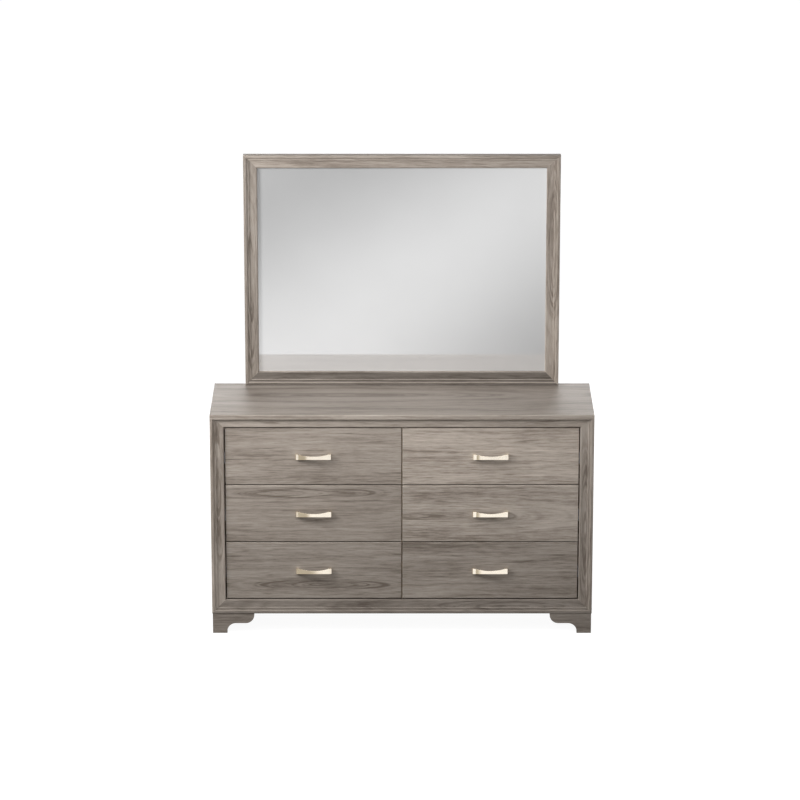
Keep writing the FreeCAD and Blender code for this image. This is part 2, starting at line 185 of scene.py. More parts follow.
def boardPlace(finish, grain, shift):
    # a board's place in its wood and the axis of its grain; a turning grain runs round corners, along X on
    # the front and the back and along Y on the sides
    straight = finish.move(finish.place, shift)
    if grain != "turning":
        return straight, grain
    swapped = finish.move(finish.place, shift, (0, 0, math.pi / 2))
    normal = finish.add("ShaderNodeNewGeometry").outputs["True Normal"]
    across = finish.add("ShaderNodeSeparateXYZ", {0: normal}).outputs[0]
    side = finish.math("GREATER_THAN", finish.math("ABSOLUTE", across), sideTurn)
    return finish.add("ShaderNodeMix", {0: side, 4: straight, 5: swapped}, data_type="VECTOR").outputs[1], "X"


def ringPlace(finish, place, grain, across, heart, shift):
    # swaps the place across the grain for the distance from the heart of the tree, which lies at a slant to
    # the board, and says how near the heart is
    look = greyOak
    axes = dict(zip("XYZ", finish.add("ShaderNodeSeparateXYZ", {0: place}).outputs))
    along = finish.math("SUBTRACT", axes[grain], heart[0] + shift["XYZ".index(grain)])
    over = finish.math("SUBTRACT", axes[across], heart[1] + shift["XYZ".index(across)])
    rise = finish.math("MULTIPLY", along, look["heartSlope"])
    depth = finish.math("SQRT", finish.math("MULTIPLY_ADD", rise, rise, look["heartDepth"] ** 2))
    depth = finish.sway(finish.noise(place, look["heartReach"], 1), look["heartSway"], depth)
    square = finish.math("MULTIPLY_ADD", depth, depth, finish.math("MULTIPLY", over, over))
    axes[across] = finish.math("SQRT", square)
    rings = finish.add("ShaderNodeCombineXYZ", {i: axes[axis] for i, axis in enumerate("XYZ")}).outputs[0]
    return rings, finish.remap(axes[across], *look["figureReach"], smooth=True)


def rubbedEdges(finish):
    # a softened normal leaves the true one at edges
    look = greyOak
    bevel = finish.add("ShaderNodeBevel", {"Radius": look["wearWidth"]}, samples=look["wearSamples"])
    true = finish.add("ShaderNodeNewGeometry").outputs["Normal"]
    return finish.remap(finish.dot(bevel.outputs[0], true), *look["wearFrom"])


def makeGreyOak(name, grain, across="Z", shift=(0, 0, 0), tone=1.0, heart=None, bold=1.0, paintedEdges=()):
    look = greyOak
    finish = Finish(name)
    place, grain = boardPlace(finish, grain, shift)
    wave = finish.stretch(place, grain, look["waveStretch"])
    wave = finish.noise(wave, look["waveWidth"], 1, output="Color")
    wave = finish.vector("SUBTRACT", wave, (0.5, 0.5, 0.5))
    place = finish.vector("MULTIPLY_ADD", wave, (look["waveHeight"],) * 3, place)
    rings, near = ringPlace(finish, place, grain, across, heart, shift) if heart else (place, None)

    def lines(part, base):
        shape = {**plainNoise, **look[part]}
        drawn = finish.stretch(base, grain, shape["stretch"], (shape["shift"],) * 3)
        drawn = finish.noise(drawn, shape["width"], shape["detail"], shape["roughness"], shape["distortion"])
        return finish.remap(drawn, *shape["peaks"]) if "peaks" in shape else drawn

    band, ring, fibre = lines("band", rings), lines("ring", rings), lines("fibre", place)
    streak, fleck, pore = lines("streak", rings), lines("fleck", place), lines("pore", place)
    value = 0.5
    for part, drawn in (("band", band), ("ring", ring), ("fibre", fibre)):
        value = finish.sway(drawn, look[part]["amount"], value)
    for part, drawn in (("streak", streak), ("fleck", fleck), ("pore", pore)):
        value = finish.math("MULTIPLY_ADD", drawn, look[part]["amount"], value)
    if heart:  # arches of the figure, close to the heart
        figure = finish.math("MULTIPLY", lines("figure", rings), near)
        value = finish.math("MULTIPLY_ADD", figure, look["figure"]["amount"], value)
    value = finish.sway(value, bold, 0.5)
    wear = finish.math("MULTIPLY", rubbedEdges(finish), band)
    value = finish.math("MULTIPLY_ADD", wear, look["wearAmount"], value)

    colour = finish.shades(value, look, tone)
    # painted highlight and shade: faces that turn the given way get a paler or darker copy of the wood
    for ratio, side, low, high in paintedEdges:
        turned = finish.dot(finish.add("ShaderNodeNewGeometry").outputs["True Normal"], side)
        paintedFaces = finish.math("MULTIPLY", finish.math("GREATER_THAN", turned, low),
                            finish.math("LESS_THAN", turned, high))
        edge = finish.shades(value, look, tone * ratio)
        colour = finish.add("ShaderNodeMix", {0: paintedFaces, 6: colour, 7: edge}, data_type="RGBA").outputs[2]
    finish.set(Base_Color=colour, Specular_IOR_Level=look["specular"])
    finish.gloss(fibre, look)
    hollow = finish.math("MULTIPLY_ADD", streak, look["streakDepth"], pore)
    finish.bump(finish.math("SUBTRACT", fibre, hollow), look)
    return finish.material


# Drawer boxes, partition and rails: pale birch, its grain following the length of each board

birch = {
    "light": (0.66, 0.53, 0.37), "mid": (0.56, 0.43, 0.285), "dark": (0.40, 0.285, 0.17),
    "stops": (0.15, 0.5, 0.85),
    "bandWidth": 0.028, "bandStretch": 12, "bandAmount": 1.1,
    "fibreWidth": 0.003, "fibreStretch": 30, "fibreShift": (4, 4, 4), "fibreDetail": 3,
    "roughness": (0.48, 0.62), "specular": 0.35, "bumpDepth": 0.0002, "bumpStrength": 0.4,
}


def makeBirch(name, grain, shift=(0, 0, 0)):
    look = birch
    finish = Finish(name)
    place, grain = boardPlace(finish, grain, shift)
    band = finish.noise(finish.stretch(place, grain, look["bandStretch"]), look["bandWidth"])
    fibre = finish.stretch(place, grain, look["fibreStretch"], look["fibreShift"])
    fibre = finish.noise(fibre, look["fibreWidth"], look["fibreDetail"])
    colour = finish.shades(finish.sway(band, look["bandAmount"], fibre), look)
    finish.set(Base_Color=colour, Specular_IOR_Level=look["specular"])
    finish.gloss(fibre, look)
    finish.bump(fibre, look)
    return finish.material


# Back panel and mirror backboard: pressed brown hardboard

hardboard = {
    "light": (0.29, 0.20, 0.125), "dark": (0.18, 0.118, 0.07), "stops": (0.25, 0.75),
    "fleck": 0.0035, "fleckDetail": 4, "fleckRoughness": 0.7, "cloud": 0.16, "cloudAmount": 0.35,
    "roughness": (0.55, 0.75), "specular": 0.3, "bumpDepth": 0.0003, "bumpStrength": 0.4,
}


def makeHardboard():
    look = hardboard
    finish = Finish("hardboard")
    fleck = finish.noise(finish.place, look["fleck"], look["fleckDetail"], look["fleckRoughness"])
    cloud = finish.noise(finish.place, look["cloud"])
    colour = finish.shades(finish.sway(cloud, look["cloudAmount"], fleck), look)
    finish.set(Base_Color=colour, Specular_IOR_Level=look["specular"])
    finish.gloss(fleck, look)
    finish.bump(fleck, look)
    return finish.material


# Slides and fasteners: bright zinc on pressed steel, drawn along Y

zincSteel = {
    "light": (0.66, 0.67, 0.69), "dark": (0.46, 0.47, 0.50), "stops": (0.25, 0.75),
    "spangle": 0.012, "spangleStretch": 3, "drawn": 0.0012, "drawnStretch": 60, "drawnAmount": 0.5,
    "roughness": (0.36, 0.24), "bumpDepth": 0.00005, "bumpStrength": 0.3,
}


def makeZincSteel():
    look = zincSteel
    finish = Finish("zincSteel")
    spangle = finish.noise(finish.stretch(finish.place, "Y", look["spangleStretch"]), look["spangle"])
    drawn = finish.noise(finish.stretch(finish.place, "Y", look["drawnStretch"]), look["drawn"])
    value = finish.sway(drawn, look["drawnAmount"], spangle)
    finish.set(Base_Color=finish.shades(value, look), Metallic=1.0)
    finish.gloss(value, look)
    finish.bump(drawn, look)
    return finish.material


# Pulls: satin champagne metal with fine brushing along their length

champagne = {
    "light": (0.89, 0.815, 0.70), "dark": (0.86, 0.78, 0.66), "stops": noiseReach,
    "brush": 0.0015, "brushStretch": 70, "roughness": (0.19, 0.15), "bumpDepth": 0.00001, "bumpStrength": 0.3,
}


def makeChampagne():
    look = champagne
    finish = Finish("champagneMetal")
    brush = finish.noise(finish.stretch(finish.place, "X", look["brushStretch"]), look["brush"])
    finish.set(Base_Color=finish.shades(brush, look), Metallic=1.0)
    finish.gloss(brush, look)
    finish.bump(brush, look)
    return finish.material


# Mirror: silvered glass with a faint haze

mirrorSilver = {
    "light": (0.88, 0.88, 0.882), "dark": (0.855, 0.855, 0.857), "stops": noiseReach, "cloud": 0.25,
    "metallic": 0.6, "roughness": (0.015, 0.03), "specular": 0.5,
}


def makeMirror():
    look = mirrorSilver
    finish = Finish("mirrorSilver")
    cloud = finish.noise(finish.place, look["cloud"])
    finish.set(Base_Color=finish.shades(cloud, look), Metallic=look["metallic"])
    finish.set(Specular_IOR_Level=look["specular"])
    finish.gloss(cloud, look)
    return finish.material


def dress(material, *names):
    for name in names:
        slots = nodes[name].data.materials
        slots.clear()
        slots.append(material)


# each visible board: grain, axis across it, shift into fresh wood, tone, where its heart lies along and
# across the grain, and how bold its grain is

# the tones are partly each board's own and partly painted shade: they run lighter on the upper boards and
# darker on the lower ones, and the low tones of the top panel and of the mirror frame's bottom rail paint
# shade on them
boards = {
    "drawer_upper_left_front": ("X", "Z", (0.0, 0.0, 0.0), 1.08, (-0.10, 0.560), 1.0),
    "drawer_upper_right_front": ("X", "Z", (1.3, 0.0, 0.4), 1.40, (0.30, 0.900), 1.1),
    "drawer_middle_left_front": ("X", "Z", (2.1, 0.0, 0.9), 1.0, (-0.42, 0.575), 0.95),
    "drawer_middle_right_front": ("X", "Z", (3.2, 0.0, 1.3), 1.2, (0.08, 0.483), 1.25),
    "drawer_lower_left_front": ("X", "Z", (4.4, 0.0, 0.2), 0.9, (-0.30, 0.195), 1.2),
    "drawer_lower_right_front": ("X", "Z", (5.6, 0.0, 1.1), 0.96, (0.45, 0.060), 1.2),
    "top_panel": ("X", "Y", (0.31, 0.0, 0.23), 0.67, (-0.15, 0.05), 1.0),
    "face_frame_top_rail": ("X", "Z", (0.67, 0.4, 0.0), 1.25, (0.2, 0.90), 1.0),
    "face_frame_bottom_rail": ("X", "Z", (0.12, 0.2, 0.5), 0.70, (0.45, 0.110), 1.0),
    "face_frame_left_stile": ("Z", "X", (2.3, 0.2, 3.1), 1.16, (0.62, -0.72), 1.0),
    "face_frame_right_stile": ("Z", "X", (2.67, 0.57, 3.47), 0.91, (0.45, 0.72), 1.0),
    "mirror_frame_top_rail": ("X", "Z", (1.67, 0.4, 0.0), 1.05, (0.3, 1.90), 1.0),
    "mirror_frame_bottom_rail": ("X", "Z", (1.12, 0.2, 0.5), 0.44, (0.1, 0.80), 1.0),
    "mirror_frame_left_stile": ("Z", "X", (1.2, 0.0, 0.4), 0.85, (1.3, -0.60), 1.0),
    "mirror_frame_right_stile": ("Z", "X", (3.41, 1.31, 4.21), 1.04, (1.5, 0.60), 1.0),
    "left_side_panel": ("Z", "Y", (0.0, 0.6, 0.0), 1.0, (0.3, -0.05), 1.0),
    "right_side_panel": ("Z", "Y", (0.9, 1.6, 0.0), 1.0, (0.6, 0.07), 1.0),
}
# the feet's low tone is partly painted shade, as on the lower boards
feet = {"grain": "turning", "shift": (0.4, 0.1, 0.3), "tone": 0.78}
birchShift = {
    "boxes": (0, 0, 0), "boards": (0.3, 0.2, 0.1), "depth": (0.6, 0.1, 0.4), "upright": (0.2, 0.5, 0.1),
}

zinc = makeZincSteel()
metal = makeChampagne()
for name, (grain, across, shift, tone, heart, bold) in boards.items():
    paintedEdges = paintedLightAndShade.get(name, paintedLightAndShade.get(name.split("_")[0], ()))
    dress(makeGreyOak(f"greyOak_{name}", grain, across, shift, tone, heart, bold, paintedEdges), name)
dress(makeGreyOak("greyOak_feet", **feet),
      *[f"{end}_{side}_foot" for end in ("front", "rear") for side in ("left", "right")])
dress(makeBirch("birchBoxes", "turning", birchShift["boxes"]), *[f"{drawer}_box" for drawer in drawers])
dress(makeBirch("birchBoards", "X", birchShift["boards"]), *[f"{drawer}_bottom" for drawer in drawers],
      "bottom_panel", "rear_rails")
dress(makeBirch("birchDepth", "Y", birchShift["depth"]), "centre_partition", "slide_cleats")
dress(makeBirch("birchUpright", "Z", birchShift["upright"]), "mirror_supports")
dress(makeHardboard(), "back_panel", "mirror_backboard")
dress(zinc, "slide_cabinet_members", *[f"{drawer}_slide_inners" for drawer in drawers],
      *[f"{drawer}_slide_middles" for drawer in drawers])
dress(makeMirror(), "mirror_glass")
print("finishes:", len(bpy.data.materials), "materials")


def addPiece(name, mesh, body, slot, *replaced):
    piece = bpy.data.objects.new(name, mesh)
    scene.collection.objects.link(piece)
    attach(piece, body)
    if replaced:
        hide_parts(*replaced)


def meshOf(holder):
    # the holder's evaluated shape as a plain mesh; the holder goes away
    bpy.context.view_layer.update()
    made = bpy.data.meshes.new_from_object(holder.evaluated_get(bpy.context.evaluated_depsgraph_get()))
    bpy.data.objects.remove(holder)
    return made


# Bow pulls: a strap that bows forward between two legs and narrows to a waist, cast with rounded ends

pull = {
    "leg": 0.012, "thick": 0.005, "waist": 0.0045, "bow": 0.0135, "steps": 28,
    "corner": 0.0035, "cornerSteps": 4,
    "round": 0.0018, "roundSteps": 4, "roundFrom": 40,  # edges that turn by more degrees are rounded
    "sharpFrom": 30,  # and those that turn by more than this aren't shaded smooth
}


def bowShape(low, high):
    middle = (low + high) / 2
    half, rise = (high.x - low.x) / 2, (high.z - low.z) / 2
    span, corner = half - pull["leg"], pull["corner"]
    padY = low.y + pull["bow"]  # front of the legs
    shape = bmesh.new()

    def arc(x, sag):
        radius = (span * span + sag * sag) / (2 * sag)
        return math.sqrt(radius * radius - x * x) - (radius - sag)

    def pair(x, y, tall):
        return [shape.verts.new((middle.x + x, y, middle.z + side * tall)) for side in (1, -1)]

    def skin(stations):
        # front, back, top and underside between stations, each a front pair and a back pair
        for ((a, b), (e, f)), ((c, d), (g, h)) in zip(stations, stations[1:]):
            for corners in ((a, b, d, c), (g, h, f, e), (a, c, g, e), (d, b, f, h)):
                shape.faces.new(corners)

    strap = []
    for step in range(pull["steps"] + 1):
        x = span * (2 * step / pull["steps"] - 1)
        y = padY - arc(x, pull["bow"])
        tall = rise - arc(x, pull["waist"])
        strap.append((pair(x, y, tall), pair(x, y + pull["thick"], tall)))
    skin(strap)
    for side, at in ((-1, 0), (1, -1)):
        end = []
        for step in range(pull["cornerSteps"] + 1):
            turn = math.pi / 2 * step / pull["cornerSteps"]
            x = side * (half - corner + corner * math.sin(turn))
            end.append((pair(x, padY + corner - corner * math.cos(turn), rise), pair(x, high.y, rise)))
        skin(end)
        (a, b), (e, f) = strap[at]
        (c, d), (g, h) = end[0]
        i, j = pair(side * span, high.y, rise)  # inner edge of the leg, at the drawer
        for corners in ((a, b, d, c), (a, c, g, i, e), (b, f, j, h, d), (e, i, j, f), (i, g, h, j)):
            shape.faces.new(corners)
        (c, d), (g, h) = end[-1]
        shape.faces.new((c, d, h, g))
    return shape


def makePull(drawer):
    name = f"{drawer}_bow_pull"
    shape = bowShape(*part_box(f"{drawer}_pull"))
    bmesh.ops.recalc_face_normals(shape, faces=shape.faces)
    for face in shape.faces:
        face.smooth = True
    for edge in shape.edges:
        edge.smooth = edge.calc_face_angle(0) < math.radians(pull["sharpFrom"])
    holder = bpy.data.objects.new("pullHolder", bpy.data.meshes.new(name))
    shape.to_mesh(holder.data)
    shape.free()
    scene.collection.objects.link(holder)
    holder.data.materials.append(metal)
    ease = holder.modifiers.new("ease", "BEVEL")
    ease.width, ease.segments = pull["round"], pull["roundSteps"]
    ease.limit_method, ease.angle_limit = "ANGLE", math.radians(pull["roundFrom"])
    ease.harden_normals = True
    addPiece(name, meshOf(holder), drawer, "pull_metal", f"{drawer}_pull")


for drawer in drawers:
    makePull(drawer)
print("pulls:", len(drawers))


# Fasteners and balls: Geometry Nodes trees that set one small shape on many points

class Maker:
    # one tree with named inputs; makes a plain mesh from points or paths
    def __init__(self, name, **inputs):
        self.tree = bpy.data.node_groups.new(name, "GeometryNodeTree")
        for way in ("INPUT", "OUTPUT"):
            self.socket("Geometry", "Geometry", way)
        self.keys = {label: self.socket(label, kind) for label, kind in inputs.items()}
        self.given = self.tree.nodes.new("NodeGroupInput").outputs

    def socket(self, label, kind, way="INPUT"):
        return self.tree.interface.new_socket(label, in_out=way, socket_type=f"NodeSocket{kind}").identifier

    def add(self, kind, inputs=None, **settings):
        node = self.tree.nodes.new(kind)
        for key, value in settings.items():
            setattr(node, key, value)
        for key, value in (inputs or {}).items():
            for item in value if isinstance(value, list) else [value]:
                if isinstance(item, bpy.types.NodeSocket):
                    self.tree.links.new(item, node.inputs[key])
                else:
                    node.inputs[key].default_value = item
        return node.outputs

    def math(self, operation, first, second):
        return self.add("ShaderNodeMath", {0: first, 1: second}, operation=operation)[0]

    def triple(self, x, y, z):
        return self.add("ShaderNodeCombineXYZ", {0: x, 1: y, 2: z})[0]

    def rotation(self, turns):
        return self.add("FunctionNodeEulerToRotation", {"Euler": turns})[0]

    def attribute(self, name):
        kind = "GeometryNodeInputNamedAttribute"
        return self.add(kind, {"Name": name}, data_type="FLOAT_VECTOR")["Attribute"]

    def head(self):
        # a round head, one high and one in radius, that narrows to its crown
        inputs = {"Vertices": self.given["Sides"], "Radius Top": self.given["Crown"], "Radius Bottom": 1.0,
                  "Depth": 1.0}
        return self.add("GeometryNodeMeshCone", inputs)["Mesh"]

    def moved(self, geometry, **ways):
        return self.add("GeometryNodeTransform", {"Geometry": geometry, **ways})["Geometry"]

    def onPoints(self, points, instance, **ways):
        inputs = {"Points": points, "Instance": instance, **ways}
        return self.add("GeometryNodeInstanceOnPoints", inputs)["Instances"]

    def finish(self, instances):
        real = self.add("GeometryNodeRealizeInstances", {"Geometry": instances})["Geometry"]
        inputs = {"Geometry": real, "Material": self.given["Finish"]}
        dressed = self.add("GeometryNodeSetMaterial", inputs)["Geometry"]
        self.tree.links.new(dressed, self.tree.nodes.new("NodeGroupOutput").inputs["Geometry"])

    def make(self, name, points, paths=(), marks=None, **values):
        # marks holds, by name, one vector for each point
        mesh = bpy.data.meshes.new(name)
        mesh.from_pydata(points, paths, [])
        for mark, vectors in (marks or {}).items():
            held = mesh.attributes.new(mark, "FLOAT_VECTOR", "POINT")
            for item, vector in zip(held.data, vectors):
                item.vector = vector
        holder = bpy.data.objects.new(name, mesh)
        scene.collection.objects.link(holder)
        modifier = holder.modifiers.new(name, "NODES")
        modifier.node_group = self.tree
        for label, value in values.items():
            modifier[self.keys[label]] = value
        return meshOf(holder)


def screwMaker():
    # cross-recessed pan heads: each point says how big its head is and where it faces, and chance turns it
    maker = Maker("screwHeads", Sides="Int", Crown="Float", Slot="Float", Reach="Float", Depth="Float",
                  Seed="Int", Finish="Material")
    given = maker.given
    head = maker.head()
    deep = maker.math("MULTIPLY", given["Depth"], 2.0)  # half of the cutter stands above the crown
    crown = maker.triple(0.0, 0.0, 1.0)
    slots = []
    for x, y in (("Reach", "Slot"), ("Slot", "Reach")):
        slot = maker.add("GeometryNodeMeshCube", {"Size": maker.triple(given[x], given[y], deep)})["Mesh"]
        slots.append(maker.moved(slot, Translation=crown))
    head = maker.add("GeometryNodeMeshBoolean", {"Mesh 1": head, "Mesh 2": slots}, operation="DIFFERENCE",
                     solver="EXACT")["Mesh"]
    chance = {2: 0.0, 3: math.pi, "Seed": given["Seed"]}
    spin = maker.add("FunctionNodeRandomValue", chance, data_type="FLOAT")[1]
    turns = {"Rotation": maker.rotation(maker.attribute("facing")),
             "Rotate By": maker.rotation(maker.triple(0.0, 0.0, spin))}
    turned = maker.add("FunctionNodeRotateRotation", turns, rotation_space="LOCAL")[0]
    maker.finish(maker.onPoints(given["Geometry"], head, Rotation=turned, Scale=maker.attribute("size")))
    return maker


def pathMaker():
    # small plates or heads at even steps along paths, each lying along its path
    maker = Maker("pathHeads", Sides="Int", Crown="Float", Size="Vector", Spacing="Float", Facing="Vector",
                  Finish="Material")
    given = maker.given
    path = maker.add("GeometryNodeMeshToCurve", {"Mesh": given["Geometry"]})["Curve"]
    steps = {"Curve": path, "Length": given["Spacing"]}
    path = maker.add("GeometryNodeResampleCurve", steps, mode="LENGTH")["Curve"]
    head = maker.moved(maker.head(), Scale=given["Size"])
    tangent = maker.add("GeometryNodeInputTangent")["Tangent"]
    along = {"Rotation": maker.rotation(given["Facing"]), "Vector": tangent}
    turned = maker.add("FunctionNodeAlignRotationToVector", along, axis="X", pivot_axis="Z")[0]
    maker.finish(maker.onPoints(path, head, Rotation=turned))
    return maker


def ballMaker():
    # a row of balls in a thin cage for each point, running back from it
    maker = Maker("ballRows", Count="Int", Pitch="Float", Radius="Float", Segments="Int", Rings="Int",
                  CageThick="Float", CageRatio="Float", Finish="Material")
    given = maker.given
    row = {"Count": given["Count"], "Offset": maker.triple(0.0, given["Pitch"], 0.0)}
    row = maker.add("GeometryNodeMeshLine", row)["Mesh"]
    ball = {key: given[key] for key in ("Segments", "Rings", "Radius")}
    balls = maker.onPoints(row, maker.add("GeometryNodeMeshUVSphere", ball)["Mesh"])
    length = maker.math("MULTIPLY", given["Count"], given["Pitch"])
    middle = maker.math("MULTIPLY", maker.math("SUBTRACT", length, given["Pitch"]), 0.5)
    wide = maker.math("MULTIPLY", given["Radius"], given["CageRatio"])
    cage = maker.add("GeometryNodeMeshCube", {"Size": maker.triple(wide, length, given["CageThick"])})["Mesh"]
    cage = maker.moved(cage, Translation=maker.triple(0.0, middle, 0.0))
    both = maker.add("GeometryNodeJoinGeometry", {"Geometry": [balls, cage]})["Geometry"]
    maker.finish(maker.onPoints(given["Geometry"], both))
    return maker


screws, heads, rows = screwMaker(), pathMaker(), ballMaker()
faceLeft, faceRight, faceBack = (0, -math.pi / 2, 0), (0, math.pi / 2, 0), (-math.pi / 2, 0, 0)

# screws: sizes in radii and heights of a head, then radius and height of each kind of head

screwLook = {
    "Sides": 14, "Crown": 0.72, "Slot": 0.24, "Reach": 1.08, "Depth": 0.55, "Seed": 4, "Finish": zinc,
}
panHead = (0.0045, 0.0022)
pullHead = (0.0040, 0.0024)
slideHead = (0.0032, 0.0015)
cornerHead = (0.0036, 0.0010)
camHead = (0.0075, 0.0006)

slide = {
    "webGap": 0.0043, "steel": 0.0012, "screwsAt": (0.035, 0.160, 0.310),
    "ballsIn": 0.012, "count": 9, "pitch": 0.0095, "segments": 8, "rings": 6,
    "innerRow": (0.0042, 0.0149, 0.0017), "outerRow": (0.0025, 0.01965, 0.00145),  # inset, rise, radius
    "cageThick": 0.0005, "cageRatio": 1.3,
}
box = {"thick": 0.012, "camAt": 0.034, "camRise": 0.045, "screwRise": (0.035, 0.085, 0.135), "screwIn": 0.006}
support = {"width": 0.044, "screwsAt": (0.100, 0.160, 0.250, 0.450, 0.650, 0.850)}


def makeScrews(name, body, places):
    # places: list of (point, facing, (radius, height))
    made = screws.make(name, [point for point, _, _ in places], marks={
        "facing": [facing for _, facing, _ in places],
        "size": [(radius, radius, height) for _, _, (radius, height) in places]}, **screwLook)
    addPiece(name, made, body, "slide_steel")


def drawerScrews(drawer):
    places = []
    pullLow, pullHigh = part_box(f"{drawer}_pull")
    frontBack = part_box(f"{drawer}_front")[1].y
    for x in (pullLow.x + pull["leg"] / 2, pullHigh.x - pull["leg"] / 2):
        places.append(((x, frontBack, (pullLow.z + pullHigh.z) / 2), faceBack, pullHead))
    low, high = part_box(f"{drawer}_slide_inners")
    for y in slide["screwsAt"]:
        places.append(((low.x + slide["webGap"], low.y + y, (low.z + high.z) / 2), faceLeft, slideHead))
        places.append(((high.x - slide["webGap"], low.y + y, (low.z + high.z) / 2), faceRight, slideHead))
    low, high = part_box(f"{drawer}_box")
    for rise in box["screwRise"]:
        places.append(((low.x, high.y - box["screwIn"], low.z + rise), faceLeft, cornerHead))
        places.append(((high.x, high.y - box["screwIn"], low.z + rise), faceRight, cornerHead))
    for rise in (box["camRise"], high.z - low.z - box["camRise"]):
        places.append(((low.x + box["thick"], low.y + box["camAt"], low.z + rise), faceRight, camHead))
        places.append(((high.x - box["thick"], low.y + box["camAt"], low.z + rise), faceLeft, camHead))
    makeScrews(f"{drawer}_screws", drawer, places)


def slideBalls(drawer):
    low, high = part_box(f"{drawer}_slide_middles")
    middle = (low.z + high.z) / 2
    length = slide["count"] * slide["pitch"]
    for label, start in (("inner", low.y + slide["ballsIn"]), ("outer", high.y - slide["ballsIn"] - length)):
        inset, rise, radius = slide[label + "Row"]
        insets = (low.x + inset, high.x - inset)
        points = [(x, start, middle + side * rise) for x in insets for side in (1, -1)]
        made = rows.make(f"{drawer}_{label}_balls", points, Count=slide["count"], Pitch=slide["pitch"],
                         Radius=radius, Segments=slide["segments"], Rings=slide["rings"],
                         CageThick=slide["cageThick"], CageRatio=slide["cageRatio"], Finish=zinc)
        addPiece(f"{drawer}_{label}_balls", made, f"{drawer}_slides", "slide_steel")


def carcassScrews():
    places = []
    low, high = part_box("mirror_supports")
    for x in (low.x + support["width"] / 2, high.x - support["width"] / 2):
        for z in support["screwsAt"]:
            places.append(((x, high.y, low.z + z), faceBack, panHead))
    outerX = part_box("slide_cabinet_members")[1].x
    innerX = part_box("centre_partition")[1].x
    for drawer in drawers:
        low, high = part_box(f"{drawer}_slide_inners")
        side = 1 if low.x > 0 else -1
        inward, outward = (faceLeft, faceRight) if side > 0 else (faceRight, faceLeft)
        for y in slide["screwsAt"]:
            for x, facing in ((outerX - slide["steel"], inward), (innerX + slide["steel"], outward)):
                places.append(((side * x, low.y + y, (low.z + high.z) / 2), facing, slideHead))
    makeScrews("carcass_screws", "carcass", places)


# brads in the back panel and glazing points that hold the mirror's backboard

brad = {
    "size": (0.0022, 0.0022, 0.0007), "sides": 10, "spacing": 0.115,
    "sideIn": 0.004, "endIn": 0.008, "cornerIn": 0.03,
}
glazingPoint = {
    "size": (0.005, 0.007, 0.0006), "sides": 4, "spacing": 0.14,
    "sideIn": 0.007, "endIn": 0.007, "cornerIn": 0.07,
}
rearCrown = 0.8


def border(panel, look, middle):
    # paths along the four edges of a panel's rear face, clear of its corners, and one up its middle if asked
    low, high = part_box(panel)
    clear = look["cornerIn"]
    left, right = low.x + look["sideIn"], high.x - look["sideIn"]
    bottom, top = low.z + look["endIn"], high.z - look["endIn"]
    paths = [((x, bottom + clear), (x, top - clear)) for x in (left, right)]
    paths += [((left + clear, z), (right - clear, z)) for z in (bottom, top)]
    if middle:
        x = (low.x + high.x) / 2
        paths.append(((x, bottom + 2 * clear), (x, top - 2 * clear)))
    points = [(x, high.y, z) for path in paths for x, z in path]
    return points, [(i, i + 1) for i in range(0, len(points), 2)]


def rearHeads(name, panel, look, middle=False):
    points, paths = border(panel, look, middle)
    made = heads.make(name, points, paths, Sides=look["sides"], Crown=rearCrown, Size=look["size"],
                      Spacing=look["spacing"], Facing=faceBack, Finish=zinc)
    addPiece(name, made, "carcass", "slide_steel")


for drawer in drawers:
    drawerScrews(drawer)
    slideBalls(drawer)
carcassScrews()
rearHeads("back_panel_brads", "back_panel", brad, middle=True)
rearHeads("mirror_backboard_points", "mirror_backboard", glazingPoint)
print("fasteners: screws, brads, points and balls")


# Floor: glows white in the picture, with a faint shadow; metal and glass alone see a glowing pattern painted
# for their
# reflections: grey round a white sheet, tan at the left, with a soft diagonal band of light in front of the
# sheet

floorLook = {
    "size": 60, "albedo": 0.15, "roughness": 0.9,
    "white": 0.945, "whiteFrom": (1.3, 2.6),  # near the dresser, and where it turns full white
    "grey": 0.34, "tan": (1.0, 0.86, 0.62),
    # the sheet: from where to where each edge fades; the left edge is slanted, the right one starts in front
    "sheetFront": (-3.3, -2.8), "sheetBack": (-0.2, 0.6), "sheetLeft": (0.35, 0.75), "sheetSlant": 0.83,
    "sheetRight": (1.75, 2.0), "rightFrom": (-0.9, -0.4),
    # the band: where it starts and ends, how wide and how far to the right it is, its tone and that beside it
    "near": 3.1, "far": 7.6, "width": 0.85, "shift": 0.26, "bright": 0.69, "shade": 0.06,
}


def bandTone(finish, x, y):
    look = floorLook
    middle, reach = (look["near"] + look["far"]) / 2, (look["far"] - look["near"]) / 2
    across = finish.math("MULTIPLY_ADD", x, 1 / look["width"], -look["shift"] / look["width"])
    away = finish.math("MULTIPLY_ADD", y, -1 / reach, -middle / reach)
    off = finish.math("MULTIPLY", finish.math("ABSOLUTE", finish.math("SUBTRACT", across, away)), 0.5)
    return finish.remap(off, 0.0, 1.0, look["bright"], look["shade"], smooth=True)


